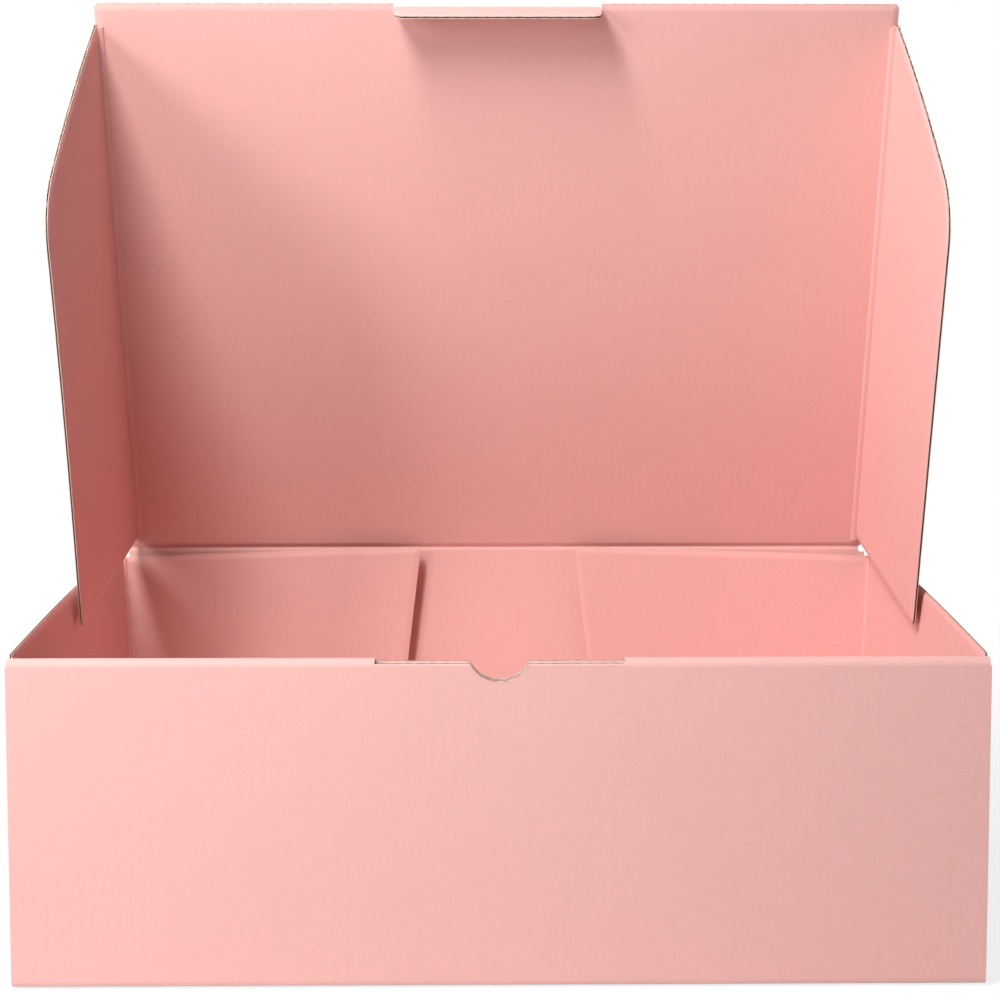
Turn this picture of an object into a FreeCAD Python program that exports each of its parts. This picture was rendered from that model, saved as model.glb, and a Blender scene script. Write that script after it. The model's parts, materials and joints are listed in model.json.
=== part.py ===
import FreeCAD, Part
import math
import os

# Corrugated mailer box folded from one die-cut sheet, standing open.
# Millimetres. Origin at the centre of the base's underside.
# X runs across the width, +Y towards the hinge, Z up.

# Board
BOARD = 1.6            # thickness of the corrugated board
LINER = 0.25           # each face sheet of the board
FLUTE_PITCH = 3.38
FLUTE_BASE = 2.4       # widest part of the hollow between two flutes
FLUTE_HEIGHT = 0.9     # of that hollow, between the liners
FLUTE_SIGHT = 3.0      # how deep the hollows are followed in from a cut edge
FLUTE_EDGE = 1.6       # middle of the last hollow to the end of its row
FOLD = 0.4             # inside radius of a crease
LAYER_GAP = 0.3        # air between layers that are folded face to face

# Tray
WIDTH = 274.0          # across the front wall, outside
DEPTH = 206.6          # front wall to back wall, outside
FRONT_HEIGHT = 93.2    # top of the roll-over strip
SIDE_DROP = 2.2        # side walls stop below the strip
BACK_SETBACK = 0.4     # each end of the back wall stands in from the full width
STRIP_SETBACK = 0.3    # the same at each end of the top strip
SIDE_SPLAY = 3.3       # how far a side wall's rear top corner leans out
SIDE_BOW = 5.0         # how far the middle of its top edge is pushed out

# Front wall's slot and thumb notch
SLOT_WIDTH = 69.4
SLOT_DEPTH = 1.2       # below the top of the strip
NOTCH_RADIUS = 9.2
NOTCH_DEPTH = 5.2      # below the slot's cut edges
NOTCH_LEAD = 1.0       # rounding where the notch meets the cut edge

# Lock tabs on the inner front wall, and their slots in the base
TAB_INNER = 31.0       # from the centre to a tab's near end
TAB_WIDTH = 56.0
TAB_TAPER = 1.5
TAB_RECESS = 0.2       # tab ends stay this far above the underside
TAB_CLEAR = 0.2

# Flaps that the tray's side walls carry
FRONT_FLAP_LENGTH = 64.0
FRONT_FLAP_TRIM = 3.0  # lower than the side wall, top and bottom
FRONT_FLAP_CORNER = 12.0
DUST_FLAP_LENGTH = 108.0
DUST_FLAP_TRIM = 2.2   # crease end below the side wall's top
DUST_FLAP_LIFT = 2.6   # crease end above the base
DUST_FLAP_TAPER = 6.5  # free end leans in towards its foot
DUST_FLAP_STANDOFF = 1.0   # air between the flap and the back wall
DUST_FLAP_CORNER = 2.5

# Lid
HINGE_GAP = 0.15       # air round a hinge knuckle
LID_REST_GAP = 0.1     # shut lid above the front wall
LID_SETBACK = 1.2      # shut lid's front edge behind the front wall's face
LID_CORNER_INSET = 0.8     # free corners of the panel, in from the ears
EAR_CLEAR = 0.3        # between an ear and the side wall at its foot
EAR_FLOOR_GAP = 0.7    # a shut lid's ears stop above the base
EAR_HEEL = 4.0         # from the hinge axis to the ear, at the lid
EAR_HEEL_FOOT = 19.0   # the same at the ear's outer edge
EAR_HEEL_RADIUS = 3.0
EAR_TOE_SETBACK = 7.2  # from the lid's front edge to the ear's end, at the lid
EAR_TOE_SWEEP = (13.0, 42.5)    # back along the lid and out from it, halfway down the toe
EAR_SHOULDER_SWEEP = (26.8, 77.5)
EAR_CORNER_SWEEP = (34.0, 87.0)
EAR_STRAIGHT_SWEEP = 46.4       # where the ear's outer edge turns straight
LID_OPEN = 70.5        # degrees from shut

# Tuck flap on the lid's front edge
TUCK_WIDTH = 68.6
TUCK_LENGTH = 12.5
TUCK_CORNER = 3.5
TUCK_RELIEF = 0.5      # cut beside the flap's crease

BEND = BOARD + FOLD    # outside radius of a crease
SIDE_HEIGHT = FRONT_HEIGHT - SIDE_DROP
HALF = WIDTH / 2
FRONT_Y = -DEPTH / 2
BACK_Y = DEPTH / 2
WALL_STACK = 3 * BOARD + 2 * LAYER_GAP     # outer wall, flap and inner wall
FLAP_FRONT_Y = FRONT_Y + BOARD + LAYER_GAP
INNER_WALL_Y = FLAP_FRONT_Y + BOARD + LAYER_GAP
ROLL_BACK_Y = FRONT_Y + WALL_STACK
DUST_BACK_Y = BACK_Y - BOARD - DUST_FLAP_STANDOFF
DUST_FRONT_Y = DUST_BACK_Y - BOARD
ROLL_HALF = HALF - BOARD - LAYER_GAP
STRIP_HALF = HALF - STRIP_SETBACK
BACK_HALF = HALF - BACK_SETBACK
CUT_EDGE_Z = FRONT_HEIGHT - SLOT_DEPTH
LEAN = math.atan2(SIDE_SPLAY, SIDE_HEIGHT - BEND)

HINGE_Y = BACK_Y - BOARD / 2
HINGE_Z = FRONT_HEIGHT + LID_REST_GAP + BOARD / 2
LID_LENGTH = HINGE_Y - FRONT_Y - LID_SETBACK
EAR_DEPTH = HINGE_Z - BOARD / 2 - BOARD - EAR_FLOOR_GAP
EAR_TOE = LID_LENGTH - EAR_TOE_SETBACK
EAR_SHOULDER = (EAR_TOE - EAR_SHOULDER_SWEEP[0], EAR_SHOULDER_SWEEP[1])
EAR_STRAIGHT = EAR_TOE - EAR_STRAIGHT_SWEEP
EAR_OUTER = HALF - BOARD - EAR_CLEAR
TUCK_AXIS_Y = FLAP_FRONT_Y + BOARD / 2
REACH = 20.0           # how far a cutting block runs past what it cuts


def vector(point):
    return FreeCAD.Vector(*point)


def wire(place, start, *steps):
    """Closed outline; a step is an end point, or a middle and an end point of an arc."""
    edges = []
    here = start
    for step in list(steps) + [start]:
        if len(step) == 2 and not isinstance(step[0], tuple):
            if math.dist(here, step) > 1e-6:
                edges.append(Part.makeLine(vector(place(*here)), vector(place(*step))))
            here = step
        else:
            middle, end = step
            arc = Part.Arc(vector(place(*here)), vector(place(*middle)), vector(place(*end)))
            edges.append(arc.toShape())
            here = end
    return Part.Wire(edges)


def prism(outline, run):
    return Part.Face(outline).extrude(vector(run))


def block(x0, x1, y0, y1, z0, z1):
    return Part.makeBox(x1 - x0, y1 - y0, z1 - z0, FreeCAD.Vector(x0, y0, z0))


def on_arc(centre, radius, degrees):
    angle = math.radians(degrees)
    return (centre[0] + radius * math.cos(angle), centre[1] + radius * math.sin(angle))


def bend(centre, inner, outer, first, last):
    """Steps round a crease: the outer arc one way, its end and the inner arc back."""
    middle = (first + last) / 2
    return [
        on_arc(centre, outer, first),
        (on_arc(centre, outer, middle), on_arc(centre, outer, last)),
        on_arc(centre, inner, last),
        (on_arc(centre, inner, middle), on_arc(centre, inner, first)),
    ]


def across(half, outline_steps):
    """Solid with the given outline in the YZ plane, from -half to +half along X."""
    outline = wire(lambda y, z: (-half, y, z), outline_steps[0], *outline_steps[1:])
    return prism(outline, (2 * half, 0, 0))


def mirrored(shape):
    return shape.mirror(FreeCAD.Vector(0, 0, 0), FreeCAD.Vector(1, 0, 0))


def both_sides(shape):
    return [shape, mirrored(shape)]


def flute_mouths(place, edge_at, first, last):
    """Hollows between the flutes where they meet a cut edge.

    Place takes a distance along the flutes, one along the edge and one through the board.
    """
    hollows = []
    half_pitch = FLUTE_PITCH / 2
    for step in range(math.ceil(first / half_pitch), math.floor(last / half_pitch) + 1):
        spot = step * half_pitch
        root = edge_at(spot) - FLUTE_SIGHT
        low = -FLUTE_HEIGHT / 2 if step % 2 == 0 else FLUTE_HEIGHT / 2
        corners = [vector(place(root, spot - FLUTE_BASE / 2, low)),
                   vector(place(root, spot + FLUTE_BASE / 2, low)),
                   vector(place(root, spot, -low))]
        run = vector(place(root + 2 * FLUTE_SIGHT, spot, 0)) - vector(place(root, spot, 0))
        outline = Part.makePolygon(corners + corners[:1])
        hollows.append(Part.Face(outline).extrude(run))
    return hollows


def base_panel():
    floor = block(BEND - HALF, HALF - BEND, FRONT_Y + BEND, BACK_Y - BEND, 0, BOARD)
    front = across(HALF, bend((FRONT_Y + BEND, BEND), FOLD, BEND, 180, 270))
    back = across(BACK_HALF, bend((BACK_Y - BEND, BEND), FOLD, BEND, 270, 360))
    pieces = [floor, front, back]
    side_start = FRONT_Y + BEND + LAYER_GAP
    centre = (HALF - BEND, BEND)
    steps = bend(centre, FOLD, BEND, 270, 360)
    outline = wire(lambda x, z: (x, side_start, z), steps[0], *steps[1:])
    side = prism(outline, (0, DUST_BACK_Y - side_start, 0))
    return pieces + both_sides(side)


def front_wall():
    """Outer wall, top strip and inner wall, rolled over the front flaps and side walls."""
    top = FRONT_HEIGHT - BEND
    slot_half = SLOT_WIDTH / 2
    outer = block(-HALF, HALF, FRONT_Y, FRONT_Y + BOARD, BEND, top)
    inner = block(-ROLL_HALF, ROLL_HALF, INNER_WALL_Y, ROLL_BACK_Y, BOARD + TAB_CLEAR, top)
    near = across(STRIP_HALF, bend((FRONT_Y + BEND, top), FOLD, BEND, 90, 180))
    far = across(STRIP_HALF, bend((ROLL_BACK_Y - BEND, top), FOLD, BEND, 0, 90))
    strip = block(-STRIP_HALF, STRIP_HALF, FRONT_Y + BEND, ROLL_BACK_Y - BEND,
                  FRONT_HEIGHT - BOARD, FRONT_HEIGHT)
    slot = block(-slot_half, slot_half, FRONT_Y - 1, ROLL_BACK_Y + 1, top, FRONT_HEIGHT + 1)
    rolled = [piece.cut(slot) for piece in (near, far, strip)]
    lips = [block(-slot_half, slot_half, y, y + BOARD, top, CUT_EDGE_Z)
            for y in (FRONT_Y, INNER_WALL_Y)]
    return [outer, inner] + rolled + lips


def lip_mouths():
    """Flutes seen in the slot's two cut edges, on either side of the thumb notch."""
    first = NOTCH_RADIUS + NOTCH_LEAD + FLUTE_EDGE
    last = SLOT_WIDTH / 2 - FLUTE_EDGE
    hollows = []
    for y in (FRONT_Y, INNER_WALL_Y):
        hollows += flute_mouths(lambda z, x, through: (x, y + BOARD / 2 + through, z),
                                lambda x: CUT_EDGE_Z, first, last)
    return hollows


def lock_tab(clear=0.0):
    """Tab at the inner wall's foot, or with a clearance the slot that it stands in."""
    low = TAB_RECESS if clear == 0 else -1
    high = BOARD + TAB_CLEAR
    near = TAB_INNER - clear
    far = TAB_INNER + TAB_WIDTH + clear
    taper = TAB_TAPER if clear == 0 else 0
    outline = wire(lambda x, z: (x, INNER_WALL_Y - clear, z),
                   (near, high), (near + taper, low), (far - taper, low), (far, high))
    return prism(outline, (0, BOARD + 2 * clear, 0))


def back_wall():
    top = HINGE_Z - BOARD / 2 - HINGE_GAP
    return block(-BACK_HALF, BACK_HALF, BACK_Y - BOARD, BACK_Y, BEND, top)


def side_section(z, bow, lean):
    """Plan outline of a side wall between its two bends, at one height."""
    front_y = FLAP_FRONT_Y + BEND
    rear_y = DUST_BACK_Y - BEND

    def run(offset, forward):
        front = (HALF - offset, front_y)
        rear = (HALF + lean - offset, rear_y)
        end = rear if forward else front
        if bow == 0:
            return end
        return ((HALF + bow - offset, (front_y + rear_y) / 2), end)

    return wire(lambda x, y: (x, y, z),
                (HALF, front_y), run(0, True),
                (HALF + lean - BOARD, rear_y), run(BOARD, False))


def side_wall():
    """Hinged at its foot, leaning out towards the rear and bowed along its top."""
    foot = side_section(BEND, 0, 0)
    head = side_section(SIDE_HEIGHT, SIDE_BOW, SIDE_SPLAY)
    wall = Part.makeLoft([foot, head], True, True)
    steps = bend((HALF - BEND, FLAP_FRONT_Y + BEND), FOLD, BEND, 270, 360)
    outline = wire(lambda x, y: (x, y, BEND), steps[0], *steps[1:])
    front = prism(outline, (0, 0, SIDE_HEIGHT - BEND))
    return [wall, front, rear_crease()]


def rear_crease():
    """Upright crease between a side wall and its dust flap, leaning with the wall."""
    flat = math.cos(LEAN)
    centre = (HALF - BEND * flat, DUST_BACK_Y - BEND)
    steps = bend(centre, FOLD * flat, BEND * flat, 0, 90)
    outline = wire(lambda x, y: (x, y, 0), steps[0], *steps[1:])
    crease = prism(outline, (0, 0, SIDE_HEIGHT + BEND))
    crease.rotate(FreeCAD.Vector(HALF, 0, BEND), FreeCAD.Vector(0, 1, 0), math.degrees(LEAN))
    return crease.common(block(0, WIDTH, 0, DEPTH, BEND, SIDE_HEIGHT))


def front_flap():
    """Held between the two layers of the front wall."""
    crease = HALF - BEND
    tip = HALF - FRONT_FLAP_LENGTH
    low = BEND + FRONT_FLAP_TRIM
    high = SIDE_HEIGHT - FRONT_FLAP_TRIM
    outline = wire(lambda x, z: (x, FLAP_FRONT_Y, z),
                   (crease, low), (tip + FRONT_FLAP_CORNER, low),
                   (tip, low + FRONT_FLAP_CORNER), (tip, high - FRONT_FLAP_CORNER),
                   (tip + FRONT_FLAP_CORNER, high), (crease, high))
    return prism(outline, (0, BOARD, 0))


def dust_flap():
    """Folded in behind, square to its leaning crease, so its free end rises."""
    front_y = DUST_BACK_Y - BEND + FOLD * math.cos(LEAN)

    def place(along, up):
        x = HALF - BEND - along * math.cos(LEAN) + up * math.sin(LEAN)
        z = BEND + along * math.sin(LEAN) + up * math.cos(LEAN)
        return (x, front_y, z)

    crease_top = (SIDE_HEIGHT - BEND) / math.cos(LEAN) - DUST_FLAP_TRIM
    foot_tip = DUST_FLAP_LENGTH - DUST_FLAP_TAPER
    outline = wire(place,
                   (0, DUST_FLAP_LIFT), (foot_tip, DUST_FLAP_LIFT),
                   (DUST_FLAP_LENGTH, crease_top), (0, crease_top))
    thickness = BOARD * math.cos(LEAN)
    flap = prism(outline, (0, thickness, 0))
    tips = [edge for edge in flap.Edges
            if edge.Vertexes[0].X < HALF - DUST_FLAP_LENGTH / 2
            and edge.Vertexes[-1].X < HALF - DUST_FLAP_LENGTH / 2
            and edge.Length < 2 * BOARD]
    slope = (DUST_FLAP_LENGTH - foot_tip) / (crease_top - DUST_FLAP_LIFT)

    def hollow(along, up, through):
        x, y, z = place(along, up)
        return (x, y + thickness / 2 + through, z)

    mouths = flute_mouths(hollow, lambda up: foot_tip + (up - DUST_FLAP_LIFT) * slope,
                          DUST_FLAP_LIFT + DUST_FLAP_CORNER + FLUTE_EDGE,
                          crease_top - DUST_FLAP_CORNER - FLUTE_EDGE)
    return flap.makeFillet(DUST_FLAP_CORNER, tips).cut(mouths)


def tray():
    floor = base_panel()
    floor = floor[0].fuse(floor[1:]).cut(both_sides(lock_tab(TAB_CLEAR)))
    pieces = front_wall() + both_sides(lock_tab()) + [back_wall()]
    for piece in side_wall() + [front_flap(), dust_flap()]:
        pieces += both_sides(piece)
    mouths = lip_mouths()
    mouths += [mirrored(mouth) for mouth in mouths]
    return floor.fuse(pieces).cut(thumb_notch()).removeSplitter().cut(mouths)


def thumb_notch():
    """Half-round bite through both layers, eased where it meets their edges."""
    centre_z = CUT_EDGE_Z - NOTCH_DEPTH + NOTCH_RADIUS
    lead_z = CUT_EDGE_Z - NOTCH_LEAD
    reach = NOTCH_RADIUS + NOTCH_LEAD
    lead_x = math.sqrt(reach ** 2 - (lead_z - centre_z) ** 2)
    share = NOTCH_RADIUS / reach
    touch = (lead_x * share, centre_z + (lead_z - centre_z) * share)
    middle_angle = (90 + math.degrees(math.atan2(touch[1] - lead_z, touch[0] - lead_x))) / 2
    middle = on_arc((lead_x, lead_z), NOTCH_LEAD, middle_angle)
    above = CUT_EDGE_Z + REACH
    outline = wire(lambda x, z: (x, FRONT_Y - 1, z),
                   (-lead_x, CUT_EDGE_Z),
                   ((-middle[0], middle[1]), (-touch[0], touch[1])),
                   ((0, CUT_EDGE_Z - NOTCH_DEPTH), touch),
                   (middle, (lead_x, CUT_EDGE_Z)),
                   (lead_x, above), (-lead_x, above))
    return prism(outline, (0, WALL_STACK + 2, 0))


def lid_place(reach, depth):
    """Point of the shut lid: reach from the hinge axis, depth below its inner face."""
    return (HINGE_Y - reach, HINGE_Z - BOARD / 2 - depth)


def lid_panel():
    half = EAR_OUTER - BEND
    corner_half = EAR_OUTER - LID_CORNER_INSET
    top = HINGE_Z + BOARD / 2
    low = HINGE_Z - BOARD / 2
    panel = block(-half, half, HINGE_Y - LID_LENGTH, HINGE_Y, low, top)
    knuckle = Part.makeCylinder(BOARD / 2, 2 * EAR_OUTER,
                                FreeCAD.Vector(-EAR_OUTER, HINGE_Y, HINGE_Z),
                                FreeCAD.Vector(1, 0, 0))
    heel = block(-EAR_OUTER, EAR_OUTER, HINGE_Y - EAR_HEEL, HINGE_Y, low, top)
    toe = block(-corner_half, corner_half, HINGE_Y - LID_LENGTH, HINGE_Y - EAR_TOE, low, top)
    return [panel, knuckle, heel, toe]


def ear():
    """Side flap of the lid, folded down at its crease."""
    crease_depth = FOLD
    outline = wire(lambda reach, depth: (EAR_OUTER, *lid_place(reach, depth)),
                   (EAR_HEEL, crease_depth), (EAR_TOE, crease_depth),
                   ((EAR_TOE - EAR_TOE_SWEEP[0], EAR_TOE_SWEEP[1]), EAR_SHOULDER),
                   ((EAR_TOE - EAR_CORNER_SWEEP[0], EAR_CORNER_SWEEP[1]), (EAR_STRAIGHT, EAR_DEPTH)),
                   (EAR_HEEL_FOOT, EAR_DEPTH))
    plate = prism(outline, (-BOARD, 0, 0))
    heel = [edge for edge in plate.Edges
            if abs(edge.Vertexes[0].X - edge.Vertexes[-1].X) > BOARD / 2
            and edge.Vertexes[0].Z < HINGE_Z - EAR_DEPTH
            and edge.Vertexes[0].Y > HINGE_Y - EAR_STRAIGHT / 2]
    plate = plate.makeFillet(EAR_HEEL_RADIUS, heel)
    middle = EAR_OUTER - BOARD / 2

    def toe_at(depth):
        line = Part.makeLine(vector((middle, *lid_place(EAR_STRAIGHT, depth))),
                             vector((middle, *lid_place(LID_LENGTH, depth))))
        return HINGE_Y - plate.common(line).BoundBox.YMin

    plate = plate.cut(flute_mouths(
        lambda reach, depth, through: (middle + through, *lid_place(reach, depth)),
        toe_at, BEND + FLUTE_EDGE, EAR_SHOULDER[1]))
    centre = (EAR_OUTER - BEND, HINGE_Z - BOARD / 2 - FOLD)
    steps = bend(centre, FOLD, BEND, 0, 90)
    toe_y = HINGE_Y - EAR_TOE
    outline = wire(lambda x, z: (x, toe_y, z), steps[0], *steps[1:])
    crease = prism(outline, (0, EAR_TOE - EAR_HEEL, 0))
    return [plate, crease]


def lid():
    pieces = lid_panel()
    for piece in ear():
        pieces += both_sides(piece)
    body = pieces[0].fuse(pieces[1:])
    mouth_half = TUCK_WIDTH / 2 + TUCK_RELIEF
    mouth_y = TUCK_AXIS_Y + BOARD / 2 + HINGE_GAP
    mouth = block(-mouth_half, mouth_half, TUCK_AXIS_Y - REACH, mouth_y,
                  HINGE_Z - BOARD, HINGE_Z + BOARD)
    mouths = flute_mouths(lambda reach, x, through: (x, HINGE_Y - reach, HINGE_Z + through),
                          lambda x: LID_LENGTH, mouth_half + FLUTE_EDGE,
                          EAR_OUTER - LID_CORNER_INSET - FLUTE_EDGE)
    mouths += [mirrored(hollow) for hollow in mouths]
    return opened(body.cut(mouth).removeSplitter().cut(mouths))


def tuck_flap():
    half = TUCK_WIDTH / 2
    knuckle = Part.makeCylinder(BOARD / 2, TUCK_WIDTH,
                                FreeCAD.Vector(-half, TUCK_AXIS_Y, HINGE_Z),
                                FreeCAD.Vector(1, 0, 0))
    blade = block(-half, half, TUCK_AXIS_Y - BOARD / 2, TUCK_AXIS_Y + BOARD / 2,
                  HINGE_Z - TUCK_LENGTH, HINGE_Z)
    tips = [edge for edge in blade.Edges
            if abs(edge.Vertexes[0].Y - edge.Vertexes[-1].Y) > BOARD / 2
            and edge.Vertexes[0].Z < HINGE_Z - TUCK_LENGTH / 2]
    blade = blade.makeFillet(TUCK_CORNER, tips)
    inset = half - TUCK_CORNER - FLUTE_EDGE
    mouths = flute_mouths(lambda drop, x, through: (x, TUCK_AXIS_Y + through, HINGE_Z - drop),
                          lambda x: TUCK_LENGTH, -inset, inset)
    return opened(blade.fuse(knuckle).removeSplitter().cut(mouths))


def opened(shape):
    """Turned about the hinge from shut to standing open."""
    turned = shape.copy()
    turned.rotate(FreeCAD.Vector(0, HINGE_Y, HINGE_Z), FreeCAD.Vector(1, 0, 0), -LID_OPEN)
    return turned


def main():
    os.makedirs("parts", exist_ok=True)
    nodes = {"tray": tray(), "lid": lid(), "tuck_flap": tuck_flap()}
    for name, shape in nodes.items():
        solids = shape.Solids
        print(name, len(solids), "solid", shape.isValid(), round(shape.Volume, 1))
        solids[0].exportStep("parts/" + name + ".step")


main()
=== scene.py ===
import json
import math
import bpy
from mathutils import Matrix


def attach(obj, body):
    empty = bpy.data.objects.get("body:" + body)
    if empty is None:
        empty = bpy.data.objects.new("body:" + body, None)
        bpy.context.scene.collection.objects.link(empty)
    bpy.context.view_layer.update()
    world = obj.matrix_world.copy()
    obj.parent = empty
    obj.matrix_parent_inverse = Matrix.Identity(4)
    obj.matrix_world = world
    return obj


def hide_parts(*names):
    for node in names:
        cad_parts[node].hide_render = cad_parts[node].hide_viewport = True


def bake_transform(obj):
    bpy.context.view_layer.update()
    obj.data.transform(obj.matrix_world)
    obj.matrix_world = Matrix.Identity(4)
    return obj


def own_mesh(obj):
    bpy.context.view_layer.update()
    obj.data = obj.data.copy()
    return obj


bl_info = {
    "name": "Corrugated mailer box",
    "version": (1, 0, 0),
    "blender": (4, 5, 0),
    "location": "View3D > Sidebar > Mailer",
    "description": "Open folded mailer of pink E flute board, with its stage",
    "category": "Object",
}

import bmesh
import bpy
from mathutils import Matrix, Vector

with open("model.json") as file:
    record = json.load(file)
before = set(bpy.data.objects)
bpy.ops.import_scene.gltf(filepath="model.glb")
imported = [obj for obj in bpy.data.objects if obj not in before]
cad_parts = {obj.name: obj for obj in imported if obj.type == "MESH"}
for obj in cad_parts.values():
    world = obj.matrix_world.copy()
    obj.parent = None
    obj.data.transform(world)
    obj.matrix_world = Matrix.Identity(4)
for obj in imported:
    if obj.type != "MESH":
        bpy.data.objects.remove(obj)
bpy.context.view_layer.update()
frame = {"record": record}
MM = 0.001
JOINTS = {joint["name"]: joint for joint in frame["record"]["behaviour"]["joints"]}
PAPERS = ("printed_liner", "cut_paper", "fluted_medium")

# Millimetres, apart from the shares and angles that say so
LAYER_GAP = 0.3             # air between layers that are folded face to face
STRIP_INSET = 0.3           # each end of the top strip
SLOT_DROP = 1.2             # slot's lips below the top of the strip
NOTCH_DEPTH = 5.2           # below the lips
TAB_INNER, TAB_OUTER = 31.0, 87.0
TAB_CLEAR = 0.2
BACK_TOP = 89.0             # where the back wall ends and the hinge fold begins
BACK_INSET = 0.4            # each end of the back wall
FLAP_GAP = 1.0              # dust flap's crease off the back wall
FRONT_FLAP_LENGTH = 64.0
FRONT_FLAP_TRIM = 3.0       # lower than the side wall, top and bottom
FRONT_FLAP_CORNER = 50.0    # where its corners begin to be cut off
DUST_FLAP_END = 110.0       # reach of its top corner
DUST_FLAP_HEEL = 96.5       # reach of its bottom corner
DUST_FLAP_LIFT = 2.6        # above the base at its crease
LEAN_START = 0.03           # share of a side wall's length where its lean begins
LEAN_PEAK = 0.6             # the same for its greatest lean
DIP_START = 0.9             # the same for the fall of its top to the rear corner
LID_START = 3.0             # where the hinge fold ends and the lid begins
LID_INSET = 0.8             # free corners of the lid, in from the ears
LID_CORNER = 2.0
EAR_CLEAR = 0.3             # between an ear and the side wall's foot
EAR_HEEL = 2.4              # hinge axis to the ears' creases
EAR_ROOT = 0.4              # lid's inner face to the ears' flat part
EAR_TOE = 7.2               # lid's front edge to the ears
EAR_BOW_LEFT, EAR_BOW_RIGHT = 0.85, 0.15
TUCK_SETBACK = 1.5          # lid's front edge to the tuck flap's axis
TUCK_MOUTH = 0.5            # cut beside the tuck flap
TUCK_END = 2.5              # where the tuck flap's fold ends
TUCK_CORNER = 3.5
FOLD_RADIUS = 1.6           # at mid thickness
RELIEF_RADIUS = 1.5
CRUSH_ROWS = (0.5, 1.1, 2.0, 2.4)
CRUSH_REACH = 2.0           # how far in from an edge the board is crushed
SCORE_REACH = 1.3
SMOOTH_ANGLE = 32           # degrees
TURN_SIGN = -1              # the rotate operator turns the other way with no window


class BoardSettings(bpy.types.PropertyGroup):
    thickness: bpy.props.FloatProperty(
        name="Thickness", description="Thickness of the corrugated board, mm", default=1.6, min=0.8)
    liner: bpy.props.FloatProperty(
        name="Liner", description="Thickness of each face sheet, mm", default=0.25, min=0.1)
    medium: bpy.props.FloatProperty(
        name="Medium", description="Thickness of the fluted sheet, mm", default=0.17, min=0.08)
    pitch: bpy.props.FloatProperty(
        name="Flute pitch", description="From one flute to the next, mm", default=3.38, min=1.5)
    phases: bpy.props.IntProperty(
        name="Steps", description="Facets in one flute", default=8, min=6, max=16)
    crease: bpy.props.FloatProperty(
        name="Crease", description="Radius of a crease at mid thickness, mm", default=1.2, min=0.8)
    crushed: bpy.props.FloatProperty(
        name="Crushed edge", description="Thickness left at a die-cut edge", default=0.5,
        min=0.2, max=1.0, subtype="FACTOR")


class TraySettings(bpy.types.PropertyGroup):
    width: bpy.props.FloatProperty(
        name="Width", description="Across the front wall, mm", default=274.0, min=100.0)
    depth: bpy.props.FloatProperty(
        name="Depth", description="Front wall to back wall, mm", default=206.6, min=80.0)
    height: bpy.props.FloatProperty(
        name="Front height", description="Top of the roll-over strip, mm", default=93.2, min=30.0)
    side_height: bpy.props.FloatProperty(
        name="Side height", description="Top of the side walls, mm", default=93.0, min=30.0)
    corner_height: bpy.props.FloatProperty(
        name="Corner height", description="Top of the side walls' creases, mm", default=91.0,
        min=30.0)
    lead: bpy.props.FloatProperty(
        name="Lead", description="Lean of a side wall just behind the front wall, mm", default=1.1)
    bow: bpy.props.FloatProperty(
        name="Bow", description="Greatest lean of a side wall, mm", default=5.0)
    splay: bpy.props.FloatProperty(
        name="Splay", description="Lean of a side wall's rear top corner, mm", default=3.3)
    stand_off: bpy.props.FloatProperty(
        name="Flap stand-off", description="Dust flap's free end off the back wall, mm",
        default=3.0)
    slot_width: bpy.props.FloatProperty(
        name="Slot width", description="Slot for the tuck flap, mm", default=69.4)
    notch_radius: bpy.props.FloatProperty(
        name="Notch radius", description="Radius of the thumb notch, mm", default=9.2)


class LidSettings(bpy.types.PropertyGroup):
    length: bpy.props.FloatProperty(
        name="Length", description="Hinge to front edge, mm", default=204.6, min=80.0)
    ear_depth: bpy.props.FloatProperty(
        name="Ear depth", description="Depth of the side ears, mm", default=91.0, min=20.0)
    ear_splay: bpy.props.FloatProperty(
        name="Ear splay", description="How far the ears spring out, degrees", default=2.1)
    opening: bpy.props.FloatProperty(
        name="Opening", description="Lid at rest, degrees from shut", default=70.5)
    tuck_width: bpy.props.FloatProperty(
        name="Tuck width", description="Width of the tuck flap, mm", default=68.6)
    tuck_length: bpy.props.FloatProperty(
        name="Tuck length", description="Length of the tuck flap, mm", default=12.5)


class PaperSettings(bpy.types.PropertyGroup):
    print_colour: bpy.props.FloatVectorProperty(
        name="Print", description="Printed face", subtype="COLOR", size=3, min=0, max=1,
        default=(0.79, 0.44, 0.41))
    edge_colour: bpy.props.FloatVectorProperty(
        name="Cut edge", description="Cut edge of the face sheets", subtype="COLOR", size=3,
        min=0, max=1, default=(0.86, 0.72, 0.62))
    medium_colour: bpy.props.FloatVectorProperty(
        name="Flutes", description="Fluted sheet", subtype="COLOR", size=3, min=0, max=1,
        default=(0.36, 0.26, 0.21))


class StageSettings(bpy.types.PropertyGroup):
    lens: bpy.props.FloatProperty(
        name="Lens", description="Focal length of the camera, mm", default=76.95)
    key: bpy.props.FloatProperty(
        name="Key light", description="Power of the key light, W", default=6.0)
    fill: bpy.props.FloatProperty(
        name="Fill", description="Strength of the surrounding light", default=0.05)


def deselect():
    if bpy.context.object and bpy.context.object.mode != "OBJECT":
        bpy.ops.object.mode_set(mode="OBJECT")
    bpy.ops.object.select_all(action="DESELECT")


def activate(*objects):
    deselect()
    for obj in objects:
        obj.select_set(True)
    bpy.context.view_layer.objects.active = objects[0]


def add_papers(obj, only=None):
    """Give a piece the board's materials, and all of its faces one of them if it is named."""
    for material in PAPERS:
        obj.data.materials.append(bpy.data.materials[material])
    if only:
        for face in obj.data.polygons:
            face.material_index = PAPERS.index(only)


def name_uv(obj):
    layer = obj.data.uv_layers.get("UVMap") or obj.data.uv_layers.new(name="UVMap")
    layer.name = "across"


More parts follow.
